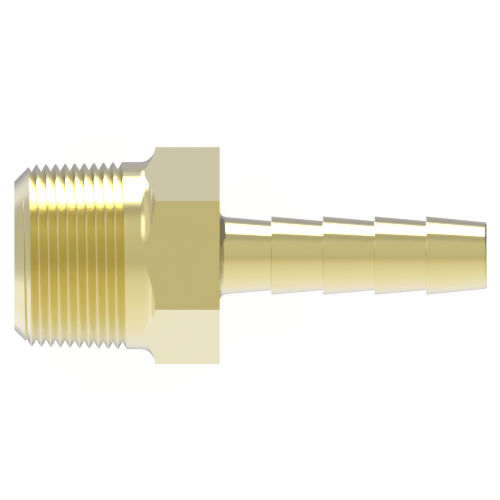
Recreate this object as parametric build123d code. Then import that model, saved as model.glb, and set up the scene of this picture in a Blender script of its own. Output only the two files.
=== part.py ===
from build123d import *
import math
import os

# Hose barb tail, one piece of brass: hexagon bar, turned down at both ends, drilled
# through, and threaded. Lengths are in mm. The axis of the part is X, from the middle of
# the threaded end's face to the tip of the hose tail. Two of the hexagon's corners point
# along Y and two of its flats face up and down, so the part lies on a flat.

# Tapered pipe thread, right-hand, 11.5 turns to the inch on a cone of 1 in 16. The groove
# is a V of 60 degrees, sharp at its root, and leaves a narrow land along the crest. The
# bar is chamfered at 45 degrees from the end face up to the crests.
THREAD_PITCH = 25.4 / 11.5
THREAD_TAPER = 1 / 32
THREAD_LENGTH = 26.06
THREAD_SMALL_END_DIAMETER = 41.54
FLANK_ANGLE = 60
CREST_LAND = 0.3
END_FACE_DIAMETER = 34.2

# A crest stands at this distance from the end face on the +Y side. Where the groove's
# mouth reaches the end of the cone, the groove runs out, within this share of a turn.
CREST_PLACE = 5.10
RUN_OUT_TURN = 0.4
TOOL_CLEARANCE = 0.35

# Plain collar as wide as the cone's large end, and the hollow shoulder up to the hexagon
COLLAR_LENGTH = 2.96
SHOULDER_FILLET = 3.5

# Hexagon
HEX_ACROSS_FLATS = 43.4
HEX_LENGTH = 14.88
BAR_ALLOWANCE = 1

# Hose tail: a neck like a barb without its edge, then the barbs, the last one longer
BARB_COUNT = 4
BARB_PITCH = 11.92
BARB_DIAMETER = 18.04
NECK_DIAMETER = 15.9
NECK_FILLET = 1.4
TIP_LENGTH = 13.92
TIP_DIAMETER = 15.28
TIP_CHAMFER = 0.3

# Bores: a wide one from the threaded end, with the cone that its drill leaves, and the
# hose bore from the tip
PIPE_BORE_DIAMETER = 25.4
PIPE_BORE_DEPTH = 36
DRILL_POINT_ANGLE = 118
HOSE_BORE_DIAMETER = 12.7
BORE_CHAMFER = 0.5

SHOULDER = THREAD_LENGTH + COLLAR_LENGTH + SHOULDER_FILLET
HEX_FACE = SHOULDER + HEX_LENGTH
FIRST_BARB = HEX_FACE + BARB_PITCH
TIP_PLACE = FIRST_BARB + (BARB_COUNT - 1) * BARB_PITCH + TIP_LENGTH


def crest_radius(place):
    """Radius of the thread's crests at a distance from the end face."""
    return THREAD_SMALL_END_DIAMETER / 2 + THREAD_TAPER * place


def turned_outline():
    """Half section of the turned bar: X along the axis, Y the radius."""
    collar = crest_radius(THREAD_LENGTH)
    bar = max(HEX_ACROSS_FLATS / math.sqrt(3), collar + SHOULDER_FILLET) + BAR_ALLOWANCE
    lead = (THREAD_SMALL_END_DIAMETER - END_FACE_DIAMETER) / 2 / (1 - THREAD_TAPER)
    points = [
        (0, 0),
        (0, END_FACE_DIAMETER / 2),
        (lead, crest_radius(lead)),
        (THREAD_LENGTH, collar),
        (SHOULDER, collar),
        (SHOULDER, bar),
        (HEX_FACE, bar),
        (HEX_FACE, BARB_DIAMETER / 2),
    ]
    for barb in range(BARB_COUNT):
        place = FIRST_BARB + barb * BARB_PITCH
        points += [(place, NECK_DIAMETER / 2), (place, BARB_DIAMETER / 2)]
    tip = (TIP_PLACE, TIP_DIAMETER / 2)
    outline = make_face(Polyline(*points, tip, (TIP_PLACE, 0), close=True))
    for corner, radius in (
        ((SHOULDER, collar), SHOULDER_FILLET),
        ((HEX_FACE, BARB_DIAMETER / 2), NECK_FILLET),
    ):
        outline = fillet(outline.vertices().sort_by_distance(corner)[0], radius)
    return chamfer(outline.vertices().sort_by_distance(tip)[0], TIP_CHAMFER)


def turned_bar():
    """Hexagon bar turned to the outline, with the flats left where it is widest."""
    hexagon = RegularPolygon(HEX_ACROSS_FLATS / 2, 6, major_radius=False)
    bar = extrude(Plane.YZ * hexagon, TIP_PLACE)
    return bar & revolve(turned_outline(), Axis.X)


def bores():
    """Both bores as one turned core, with the drill's cone and the chamfered mouths."""
    pipe, hose = PIPE_BORE_DIAMETER / 2, HOSE_BORE_DIAMETER / 2
    cone_end = PIPE_BORE_DEPTH + (pipe - hose) / math.tan(math.radians(DRILL_POINT_ANGLE / 2))
    section = Polyline(
        (0, 0),
        (0, pipe + BORE_CHAMFER),
        (BORE_CHAMFER, pipe),
        (PIPE_BORE_DEPTH, pipe),
        (cone_end, hose),
        (TIP_PLACE - BORE_CHAMFER, hose),
        (TIP_PLACE, hose + BORE_CHAMFER),
        (TIP_PLACE, 0),
        close=True,
    )
    return revolve(make_face(section), Axis.X)


def half_mouth():
    """Half the groove's width between the crest lands beside it."""
    return (THREAD_PITCH - CREST_LAND) / 2


def groove_depth():
    """Depth of the V at its full mouth."""
    return half_mouth() / math.tan(math.radians(FLANK_ANGLE / 2))


def root_line(place, advance, rise):
    """A stretch of the groove's root, wound round Z on a cone that rises as it advances."""
    root = crest_radius(place) - groove_depth()
    cone = math.atan2(rise, advance)
    helix = Edge.make_helix(
        THREAD_PITCH / math.cos(cone), advance, root, angle=math.degrees(cone)
    )
    turned = 360 * ((place - CREST_PLACE) / THREAD_PITCH + 1 / 2)
    return Pos(0, 0, place) * Rot(0, 0, turned) * helix


def groove_path(start):
    """The root line turn by turn up the thread's cone, then its steep run-out."""
    end = THREAD_LENGTH - half_mouth()
    turns = int((end - start) / THREAD_PITCH)
    places = [start + turn * THREAD_PITCH for turn in range(turns + 1)] + [end]
    lines = [
        root_line(place, following - place, THREAD_TAPER * (following - place))
        for place, following in zip(places, places[1:])
    ]
    lift = groove_depth() + TOOL_CLEARANCE
    return Wire(lines + [root_line(end, RUN_OUT_TURN * THREAD_PITCH, lift)])


def groove():
    """The V tool swept from just outside the end face along the whole groove."""
    start = (CREST_PLACE - THREAD_PITCH / 2) % THREAD_PITCH - THREAD_PITCH
    mouth = crest_radius(start)
    tool = Polyline(
        (mouth - groove_depth(), start),
        (mouth, start + half_mouth()),
        (mouth + TOOL_CLEARANCE, start + half_mouth()),
        (mouth + TOOL_CLEARANCE, start - half_mouth()),
        (mouth, start - half_mouth()),
        close=True,
    )
    wound = sweep(Plane.XZ * make_face(tool), path=groove_path(start), is_frenet=True)
    return Plane((0, 0, 0), x_dir=(0, 1, 0), z_dir=(1, 0, 0)).location * wound


tail = turned_bar() - groove() - bores()

os.makedirs("parts", exist_ok=True)
export_step(tail, "parts/hose_barb_tail.step")
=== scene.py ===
import math
import bmesh
import bpy
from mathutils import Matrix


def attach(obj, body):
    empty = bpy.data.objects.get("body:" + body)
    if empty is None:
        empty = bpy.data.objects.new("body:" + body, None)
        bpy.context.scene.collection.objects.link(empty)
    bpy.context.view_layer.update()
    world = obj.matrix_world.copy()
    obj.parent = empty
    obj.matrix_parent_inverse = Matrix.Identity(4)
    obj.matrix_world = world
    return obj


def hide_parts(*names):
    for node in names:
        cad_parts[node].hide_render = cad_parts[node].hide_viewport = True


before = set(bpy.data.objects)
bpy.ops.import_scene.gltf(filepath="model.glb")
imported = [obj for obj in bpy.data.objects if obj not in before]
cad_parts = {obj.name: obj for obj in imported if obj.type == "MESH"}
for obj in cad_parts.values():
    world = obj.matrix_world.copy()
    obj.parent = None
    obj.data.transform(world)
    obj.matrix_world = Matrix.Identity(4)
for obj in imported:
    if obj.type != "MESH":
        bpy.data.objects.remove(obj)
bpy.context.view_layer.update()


# Pipe thread. The brass bar's end is turned to a taper of 1 in 16 and chamfered at 45
# degrees, and one V groove of 60 degrees is cut round it, 11.5 turns to the inch, which
# runs out at the collar. Sizes are in millimetres, and places are from the end face.
MM = 0.001
INCH = 25.4
THREAD_PITCH = INCH / 11.5
THREAD_LENGTH = 26.06
THREAD_TAPER = 1 / 32
THREAD_SMALL_END_RADIUS = 20.77
END_FACE_RADIUS = 17.1
CREST_LAND = 0.3
HALF_MOUTH = (THREAD_PITCH - CREST_LAND) / 2
FLANK_ANGLE = 60
GROOVE_SLOPE = math.tan(math.radians(FLANK_ANGLE / 2))
GROOVE_DEPTH = HALF_MOUTH / GROOVE_SLOPE
LEAD_CORNER = (THREAD_SMALL_END_RADIUS - END_FACE_RADIUS) / (1 - THREAD_TAPER)
COLLAR_RADIUS = THREAD_SMALL_END_RADIUS + THREAD_TAPER * THREAD_LENGTH

# On the +Y side a crest stands at this place, so a groove is two and a half turns before
# it, just off the end face. The run-out lifts the tool clear within a share of a turn.
CREST_PLACE = 5.1
GROOVE_START = CREST_PLACE - 2.5 * THREAD_PITCH
GROOVE_TURNS = 12
RUN_OUT_START = THREAD_LENGTH - HALF_MOUTH
RUN_OUT_TURN = 0.4
TOOL_CLEARANCE = 0.35
RUN_OUT_RISE = (GROOVE_DEPTH + TOOL_CLEARANCE) / (RUN_OUT_TURN * THREAD_PITCH)


def crest_radius(place):
    return THREAD_SMALL_END_RADIUS + THREAD_TAPER * place


def blank_radius(place):
    """The bar before threading: the chamfer, then the taper."""
    return min(END_FACE_RADIUS + place, crest_radius(place))


def groove_corners(middle):
    """Left edge, root and right edge of the V; off the thread, one point three times."""
    rise = max(0, middle - RUN_OUT_START) * RUN_OUT_RISE
    root = crest_radius(middle) - GROOVE_DEPTH + rise
    on_blank = min(max(middle, 0), THREAD_LENGTH)
    if root >= blank_radius(middle) or middle != on_blank:
        return [(on_blank, blank_radius(on_blank))] * 3
    corners = []
    for side in (-1, 1):
        to_chamfer = (END_FACE_RADIUS + middle - root) / (1 - side * GROOVE_SLOPE)
        to_taper = (crest_radius(middle) - root) / (1 - side * GROOVE_SLOPE * THREAD_TAPER)
        height = min(to_chamfer, to_taper)
        corners.append((middle + side * GROOVE_SLOPE * height, root + height))
    return [corners[0], (middle, root), corners[1]]


def thread_section(angle):
    """Half section at an angle round the axis, from +Y over +Z: pairs of place and radius.

    Every length of the fitting has such a section, and the next one starts where it ends.
    """
    points = [(0, END_FACE_RADIUS)]
    for turn in range(GROOVE_TURNS):
        middle = GROOVE_START + THREAD_PITCH * (turn + angle / math.tau)
        groove = groove_corners(middle)
        crest = min(max(LEAD_CORNER, points[-1][0]), groove[0][0])
        points += [(crest, blank_radius(crest)), *groove]
    return points + [(THREAD_LENGTH, COLLAR_RADIUS)]


def linear(code):
    """An sRGB hex colour as the linear RGBA that shaders take."""
    parts = [int(code[digit : digit + 2], 16) / 255 for digit in (0, 2, 4)]
    return [
        part / 12.92 if part <= 0.04045 else ((part + 0.055) / 1.055) ** 2.4
        for part in parts
    ] + [1]


def add(tree, kind, inputs, **settings):
    """Adds a node with its settings; an input is a value or another node's output."""
    node = tree.nodes.new(kind)
    for name, value in settings.items():
        setattr(node, name, value)
    for name, value in inputs.items():
        if isinstance(value, bpy.types.NodeSocket):
            tree.links.new(value, node.inputs[name])
        else:
            node.inputs[name].default_value = value
    return node


# Even clean brass is a little uneven: patches of this size are rougher or smoother by a
# few percent, over the range in which most of the noise lies. A film of oil on the metal
# adds a faint white sheen.
PATCH_SIZE = 9
PATCH_CHANGE = 0.06
NOISE_LOW, NOISE_HIGH = 0.3, 0.7
FILM_SHARE = 0.5
FILM_ROUGHNESS = 0.03


def brass_finish(name, colours, line_spacing, line_depth, roughness, along_axis=False):
    """Bare brass with the parallel lines that its cutting or drawing leaves.

    The real lines are too fine to show, so they are drawn as coarse as they need to be.
    Their spacing and depth are in millimetres.
    """
    material = bpy.data.materials.new(name)
    material.use_nodes = True
    tree = material.node_tree
    tree.nodes.clear()
    place = add(tree, "ShaderNodeTexCoord", {}).outputs["Object"]
    axes = add(tree, "ShaderNodeSeparateXYZ", {"Vector": place})
    lines_across = "Y" if along_axis else "X"
    scaled = add(
        tree, "ShaderNodeMath",
        {0: axes.outputs[lines_across], 1: 1 / (line_spacing * MM)}, operation="MULTIPLY",
    )
    lines = add(
        tree, "ShaderNodeTexNoise",
        {"W": scaled.outputs[0], "Scale": 1.0, "Detail": 2.0, "Roughness": 0.6},
        noise_dimensions="1D",
    ).outputs["Fac"]
    patches = add(
        tree, "ShaderNodeTexNoise",
        {"Vector": place, "Scale": 1 / (PATCH_SIZE * MM), "Detail": 3.0, "Roughness": 0.5},
    ).outputs["Fac"]
    patchy = add(
        tree, "ShaderNodeMapRange",
        {"Value": patches, "From Min": NOISE_LOW, "From Max": NOISE_HIGH,
         "To Min": roughness * (1 - PATCH_CHANGE), "To Max": roughness * (1 + PATCH_CHANGE)},
    ).outputs["Result"]
    bump = add(
        tree, "ShaderNodeBump",
        {"Height": lines, "Distance": line_depth * MM, "Strength": 1.0},
    ).outputs["Normal"]
    tone = add(
        tree, "ShaderNodeMix",
        {"Factor": patches, 6: linear(colours[0]), 7: linear(colours[1])}, data_type="RGBA",
    ).outputs[2]
    surface = add(
        tree, "ShaderNodeBsdfPrincipled",
        {"Base Color": tone, "Metallic": 1.0, "Roughness": patchy, "Normal": bump,
         "Coat Weight": FILM_SHARE, "Coat Roughness": FILM_ROUGHNESS},
    )
    add(tree, "ShaderNodeOutputMaterial", {"Surface": surface.outputs["BSDF"]})
    return material


# Free-cutting brass, thread-cut: bright flanks, a little soft in their shine, with fine
# lines round the groove.
cut_brass = brass_finish(
    "cut_thread_brass", ("F2E9B8", "F0E5B2"),
    line_spacing=0.3, line_depth=0.0003, roughness=0.2,
)


# Collar and shoulder, turned in the same setting: a plain band behind the thread, then a
# hollow of 3.5 mm radius up to the hexagon, which it meets in a wave over the six flats.
COLLAR_LENGTH = 2.96
COLLAR_END = THREAD_LENGTH + COLLAR_LENGTH
SHOULDER_FILLET = 3.5
HALF_ACROSS_FLATS = 21.7
HOLLOW_STEPS = 16


def hexagon_radius(angle):
    """Distance from the axis to the hexagon; the corners are at 0, 60, 120 degrees."""
    from_flat = (angle + math.pi / 6) % (math.pi / 3) - math.pi / 6
    return HALF_ACROSS_FLATS / math.cos(math.pi / 6 - abs(from_flat))


def arc(centre, radius, start, end, steps):
    """Points of an arc in the half section, its angles in degrees from +X."""
    turns = [math.radians(start + (end - start) * step / steps) for step in range(steps + 1)]
    return [
        (centre[0] + radius * math.cos(turn), centre[1] + radius * math.sin(turn))
        for turn in turns
    ]


def shoulder_section(angle):
    centre = (COLLAR_END, COLLAR_RADIUS + SHOULDER_FILLET)
    sweep = math.degrees(math.acos((centre[1] - hexagon_radius(angle)) / SHOULDER_FILLET))
    hollow = arc(centre, SHOULDER_FILLET, -90, sweep - 90, HOLLOW_STEPS)
    return [(THREAD_LENGTH, COLLAR_RADIUS), *hollow]


# Free-cutting brass, finely turned: a clear shine with faint rings round the axis.
turned_brass = brass_finish(
    "turned_brass", ("F1E3A5", "EFE1A2"),
    line_spacing=0.35, line_depth=0.0003, roughness=0.08,
)


# Hexagon: what is left of the drawn brass bar, six flats with crisp corners for the
# spanner, cut square where the hose tail begins.
HEX_LENGTH = 14.88
HEX_FACE = COLLAR_END + SHOULDER_FILLET + HEX_LENGTH


def hexagon_section(angle):
    return [shoulder_section(angle)[-1], (HEX_FACE, hexagon_radius(angle))]


# Brass bar drawn through a die: smooth, even flats with barely a line along the bar.
drawn_brass = brass_finish(
    "drawn_brass", ("F1E3A5", "EFE1A2"),
    line_spacing=0.5, line_depth=0.0001, roughness=0.045, along_axis=True,
)


# Hose tail: the bar's other end turned down to a neck and four barbs, each a cone that
# narrows towards the tip. The square step at its wide end grips the hose.
BARB_PITCH = 11.92
BARB_RADIUS = 9.02
NECK_RADIUS = 7.95
NECK_FILLET = 1.6
NECK_STEPS = 14
BARB_COUNT = 4
EDGE_ROUND = 0.08
EDGE_STEPS = 4
TIP_LENGTH = 13.92
TIP_PLACE = HEX_FACE + BARB_COUNT * BARB_PITCH + TIP_LENGTH
TIP_RADIUS = 7.64
TIP_ROUND = 0.5
TIP_STEPS = 8

# A ring of points this far beside each rounding keeps the shading of the cones even.
EVEN_RING = 0.2


def hose_tail_section(angle):
    slope = math.atan2(BARB_RADIUS - NECK_RADIUS, BARB_PITCH)
    hollow = (
        HEX_FACE + NECK_FILLET,
        BARB_RADIUS - math.tan(slope) * NECK_FILLET + NECK_FILLET / math.cos(slope),
    )
    points = [(HEX_FACE, hexagon_radius(angle))]
    points += arc(hollow, NECK_FILLET, 180, 270 - math.degrees(slope), NECK_STEPS)
    beside = NECK_FILLET + EVEN_RING
    points.append((HEX_FACE + beside, BARB_RADIUS - math.tan(slope) * beside))
    tip_slope = math.atan2(BARB_RADIUS - TIP_RADIUS, TIP_LENGTH)
    for barb in range(1, BARB_COUNT + 1):
        place = HEX_FACE + barb * BARB_PITCH
        if barb == BARB_COUNT:
            slope = tip_slope
        edge = (place + EDGE_ROUND, BARB_RADIUS - EDGE_ROUND * (1 + math.tan(slope)))
        points.append((place, NECK_RADIUS))
        points += arc(edge, EDGE_ROUND, 180, 90 - math.degrees(slope), EDGE_STEPS)
        beside = EDGE_ROUND + EVEN_RING
        points.append((place + beside, BARB_RADIUS - math.tan(slope) * beside))
    beside = TIP_ROUND + EVEN_RING
    points.append((TIP_PLACE - beside, TIP_RADIUS + math.tan(tip_slope) * beside))
    rounding = (
        TIP_PLACE - TIP_ROUND,
        TIP_RADIUS + math.tan(tip_slope) * TIP_ROUND - TIP_ROUND / math.cos(tip_slope),
    )
    return points + arc(rounding, TIP_ROUND, 90 - math.degrees(tip_slope), 0, TIP_STEPS)


# Bores: a wide one from the threaded end, ending in the cone that its drill leaves, and
# the hose bore from the tip. Both have a small chamfer at the mouth.
PIPE_BORE_RADIUS = 12.7
PIPE_BORE_END = 36.0
DRILL_POINT_ANGLE = 118
HOSE_BORE_RADIUS = 6.35
BORE_CHAMFER = 0.5


def bore_section(angle):
    cone_slope = math.tan(math.radians(DRILL_POINT_ANGLE / 2))
    cone = (PIPE_BORE_RADIUS - HOSE_BORE_RADIUS) / cone_slope
    return [
        hose_tail_section(angle)[-1],
        (TIP_PLACE, HOSE_BORE_RADIUS + BORE_CHAMFER),
        (TIP_PLACE - BORE_CHAMFER, HOSE_BORE_RADIUS),
        (PIPE_BORE_END + cone, HOSE_BORE_RADIUS),
        (PIPE_BORE_END, PIPE_BORE_RADIUS),
        (BORE_CHAMFER, PIPE_BORE_RADIUS),
        (0, PIPE_BORE_RADIUS + BORE_CHAMFER),
        (0, END_FACE_RADIUS),
    ]


# Brass as drilled: duller, with rings from the drill's lips.
drilled_brass = brass_finish(
    "drilled_brass", ("EFE0A0", "EBDA98"),
    line_spacing=0.6, line_depth=0.001, roughness=0.2,
)


# The whole fitting is one solid piece of brass, so one closed mesh: the sections follow
# each other at every angle round the axis, and each keeps the finish that its cutting
# left. In a zone, the finishes go with its strips from point to point, over and over.
COLUMNS = 360
SHARP_ANGLE = math.radians(12)
MERGE_DISTANCE = 1e-4
FINISHES = [turned_brass, cut_brass, drawn_brass, drilled_brass]
TURNED, CUT, DRAWN, DRILLED = range(len(FINISHES))
ZONES = [
    (thread_section, (TURNED, TURNED, CUT, CUT)),
    (shoulder_section, (TURNED,)),
    (hexagon_section, (DRAWN,)),
    (hose_tail_section, (TURNED,)),
    (bore_section, (TURNED, DRILLED, DRILLED, DRILLED, DRILLED, DRILLED, TURNED)),
]


def turned_mesh():
    shape = bmesh.new()
    columns = []
    for number in range(COLUMNS + 1):
        angle = math.tau * number / COLUMNS
        across, up = math.cos(angle) * MM, math.sin(angle) * MM
        columns.append([
            [shape.verts.new((x * MM, r * across, r * up)) for x, r in section(angle)]
            for section, _ in ZONES
        ])
    for before, after in zip(columns, columns[1:]):
        for (_, finishes), left, right in zip(ZONES, before, after):
            for strip, corners in enumerate(zip(left, right, right[1:], left[1:])):
                face = shape.faces.new(corners)
                face.material_index = finishes[strip % len(finishes)]
                face.smooth = True
    bmesh.ops.remove_doubles(shape, verts=shape.verts, dist=MERGE_DISTANCE * MM)
    bmesh.ops.recalc_face_normals(shape, faces=shape.faces)
    mesh = bpy.data.meshes.new("hose_barb_tail_turned")
    shape.to_mesh(mesh)
    shape.free()
    for finish in FINISHES:
        mesh.materials.append(finish)
    mesh.set_sharp_from_angle(angle=SHARP_ANGLE)
    return mesh


tail = bpy.data.objects.new("turned_hose_tail", turned_mesh())
bpy.context.scene.collection.objects.link(tail)
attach(tail, "root")
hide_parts("hose_barb_tail")


# Floor: a plain sheet of white paper under the fitting, which rests on a flat of the
# hexagon. The fitting doesn't mirror the sheet, only the studio round it.
FLOOR_HALF_WIDTH = 2000
FLOOR_LEVEL = -HALF_ACROSS_FLATS

floor_mesh = bpy.data.meshes.new("floor")
floor_mesh.from_pydata(
    [(x * FLOOR_HALF_WIDTH * MM, y * FLOOR_HALF_WIDTH * MM, FLOOR_LEVEL * MM)
     for x, y in ((-1, -1), (1, -1), (1, 1), (-1, 1))],
    [], [(0, 1, 2, 3)],
)
floor = bpy.data.objects.new("floor", floor_mesh)
bpy.context.scene.collection.objects.link(floor)
floor.visible_glossy = False

# Matt paper. To the eye it mostly glows white, like the backdrop, and a share of it is lit
# by the studio, which keeps the shadow. The light that it throws back is plain paper's.
PAPER_WHITE = linear("EDEDED")
BACKDROP_WHITE = linear("FFFFFF")
PAPER_GLOW = 0.9
LIT_SHARE = 0.236

paper = bpy.data.materials.new("white_paper")
paper.use_nodes = True
tree = paper.node_tree
tree.nodes.clear()
rays = add(tree, "ShaderNodeLightPath", {})
seen = rays.outputs["Is Camera Ray"]
for kind in ("Is Glossy Ray", "Is Transmission Ray"):
    seen = add(
        tree, "ShaderNodeMath", {0: seen, 1: rays.outputs[kind]}, operation="MAXIMUM"
    ).outputs[0]
lit = add(tree, "ShaderNodeBsdfDiffuse", {"Color": PAPER_WHITE})
shade = [LIT_SHARE * part for part in PAPER_WHITE[:3]] + [1]
partly_lit = add(tree, "ShaderNodeBsdfDiffuse", {"Color": shade})
glow = add(tree, "ShaderNodeEmission", {"Color": BACKDROP_WHITE, "Strength": PAPER_GLOW})
to_eye = add(tree, "ShaderNodeAddShader", {0: partly_lit.outputs[0], 1: glow.outputs[0]})
mixed = add(tree, "ShaderNodeMixShader", {0: seen, 1: lit.outputs[0], 2: to_eye.outputs[0]})
add(tree, "ShaderNodeOutputMaterial", {"Surface": mixed.outputs[0]})
floor_mesh.materials.append(paper)


# Studio: soft light by direction, since bare brass shows little but its surroundings. The
# near wall is pale, the ceiling a warm grey, the far wall dim, with one long lamp low down
# on it.

# The walls' colours by roll, the angle round the fitting's axis from straight up towards
# +Y in degrees, blended from each to the next.
WALLS = [
    (-180, (0.25, 0.25, 0.28)),
    (-166, (0.62, 0.62, 0.72)),
    (-150, (0.86, 0.89, 1.12)),
    (-126, (0.94, 0.99, 1.36)),
    (-80, (0.92, 0.93, 0.99)),
    (-55, (0.86, 0.86, 0.80)),
    (-28, (0.77, 0.75, 0.64)),
    (-8, (0.575, 0.565, 0.46)),
    (6, (0.61, 0.605, 0.50)),
    (42, (0.64, 0.63, 0.54)),
    (55, (0.485, 0.475, 0.445)),
    (66, (0.50, 0.49, 0.48)),
    (121, (0.69, 0.72, 0.94)),
    (129, (0.50, 0.51, 0.67)),
    (160, (0.47, 0.47, 0.60)),
    (180, (0.25, 0.25, 0.28)),
]

# What hangs in front of the walls. Each panel has its colour and where it starts, is full,
# is full last and ends: in roll, in side, which runs from -1 at the left to 1 at the right,
# and, as the lamp hangs askew, in slant, the roll plus SLANT degrees for one unit of side.
# An edge out of reach, such as a side of 2 or a slant of 400, leaves the panel open there,
# and None leaves it open at both.
SLANT = 76
PANELS = {
    "left far ceiling": ((0.70, 0.71, 0.68), (18, 32, 80, 98), (-3, -2, -0.5, -0.2), None),
    "left far wall": ((0.56, 0.57, 0.68), (80, 95, 118, 132), (-3, -2, -0.75, -0.6), None),
    "left far floor": (
        (0.85, 0.90, 1.25), (124, 138, 172, 179), (-3, -2, -0.62, -0.3), None,
    ),
    "left near wall": (
        (1.0, 1.04, 1.40), (-181, -170, -122, -95), (-3, -2, -0.5, -0.3), None,
    ),
    "left near end": (
        (0.60, 0.60, 0.62), (-182, -181, -150, -120), (-3, -2, -0.9, -0.7), None,
    ),
    "left end": ((0.58, 0.59, 0.67), None, (-3, -2, -1.01, -0.92), None),
    "left far end": (
        (0.55, 0.57, 0.65), (100, 125, 181, 182), (-3, -2, -0.86, -0.76), None,
    ),
    "right far floor": (
        (0.41, 0.42, 0.565), (116, 128, 181, 182), (0.03, 0.08, 2, 3), None,
    ),
    "right far wall": ((0.2, 0.2, 0.27), (48, 60, 168, 180), (0.18, 0.4, 2, 3), None),
    "right end": ((0.24, 0.23, 0.24), (-60, -20, 181, 182), (0.5, 1.0, 2, 3), None),
    "right near end": ((0.45, 0.44, 0.46), (-182, -181, -60, -20), (0.5, 1.0, 2, 3), None),
    "doorway at the right end": ((0.5, 0.49, 0.45), None, (0.955, 0.99, 2, 3), None),
    "lamp glow": (
        (1.05, 1.05, 1.05), (61, 69, 112, 119), (-0.7, -0.6, -0.02, 0.15), (53, 63, 400, 500),
    ),
    "lamp's left end": (
        (2.2, 2.2, 2.2), (108, 114, 120, 138), (-0.69, -0.55, -0.1, -0.03), (54, 69, 112, 132),
    ),
    "lamp": (
        (2.3, 2.3, 2.3), (68, 73, 111, 117), (-0.76, -0.6, 0.19, 0.25), (54, 69, 400, 500),
    ),
    "lamp middle": (
        (10.0, 10.0, 10.0), (73, 80, 122, 136), (-0.68, -0.54, 0.17, 0.24), (68, 82, 102, 112),
    ),
    "lamp's lower edge": (
        (10.0, 10.0, 10.0), (69, 75, 82, 90), (-0.4, -0.2, 0.03, 0.1), (66, 75, 400, 500),
    ),
    "small lamp": ((1.5, 1.5, 1.5), (16, 34, 44, 60), (-0.7, -0.42, -0.3, 0.0), None),
}

studio = bpy.data.worlds.new("studio")
bpy.context.scene.world = studio
studio.use_nodes = True
tree = studio.node_tree
tree.nodes.clear()
towards = add(tree, "ShaderNodeTexCoord", {}).outputs["Generated"]
axes = add(tree, "ShaderNodeSeparateXYZ", {"Vector": towards}).outputs
across = add(tree, "ShaderNodeMath", {0: axes["Y"], 1: axes["Z"]}, operation="ARCTAN2")
roll = add(
    tree, "ShaderNodeMath", {0: across.outputs[0]}, operation="DEGREES"
).outputs[0]
slant = add(
    tree, "ShaderNodeMath", {0: axes["X"], 1: SLANT, 2: roll}, operation="MULTIPLY_ADD"
).outputs[0]
along = add(
    tree, "ShaderNodeMapRange", {"Value": roll, "From Min": -180.0, "From Max": 180.0}
).outputs["Result"]
walls = add(tree, "ShaderNodeValToRGB", {"Fac": along})
stops = walls.color_ramp.elements
for number, (degrees, colour) in enumerate(WALLS):
    place = (degrees + 180) / 360
    stop = stops[number] if number < 2 else stops.new(place)
    stop.position = place
    stop.color = [*colour, 1]
surroundings = walls.outputs["Color"]
for colour, *limits in PANELS.values():
    cover = 1.0
    for value, limit in zip((roll, axes["X"], slant), limits):
        if limit is None:
            continue
        start, full, last, end = limit
        for outside, inside in ((start, full), (end, last)):
            edge = add(
                tree, "ShaderNodeMapRange",
                {"Value": value, "From Min": outside, "From Max": inside},
                interpolation_type="SMOOTHSTEP",
            ).outputs["Result"]
            cover = add(
                tree, "ShaderNodeMath", {0: cover, 1: edge}, operation="MULTIPLY"
            ).outputs[0]
    surroundings = add(
        tree, "ShaderNodeMix", {0: cover, 6: surroundings, 7: (*colour, 1)}, data_type="RGBA"
    ).outputs[2]
light = add(tree, "ShaderNodeBackground", {"Color": surroundings, "Strength": 1.0})
backdrop = add(tree, "ShaderNodeBackground", {"Color": BACKDROP_WHITE, "Strength": 1.0})
rays = add(tree, "ShaderNodeLightPath", {})
mixed = add(
    tree, "ShaderNodeMixShader",
    {0: rays.outputs["Is Camera Ray"], 1: light.outputs[0], 2: backdrop.outputs[0]},
)
add(tree, "ShaderNodeOutputWorld", {"Surface": mixed.outputs[0]})


# Camera: straight down on the hexagon's upper flat, with no perspective.
PICTURE_WIDTH = 115.4
CAMERA_PLACE = (54.39, 1.28, 500)

lens = bpy.data.cameras.new("camera")
lens.type = "ORTHO"
lens.ortho_scale = PICTURE_WIDTH * MM
camera = bpy.data.objects.new("camera", lens)
camera.location = [place * MM for place in CAMERA_PLACE]
bpy.context.scene.collection.objects.link(camera)
bpy.context.scene.camera = camera

bpy.context.scene.view_settings.view_transform = "Standard"
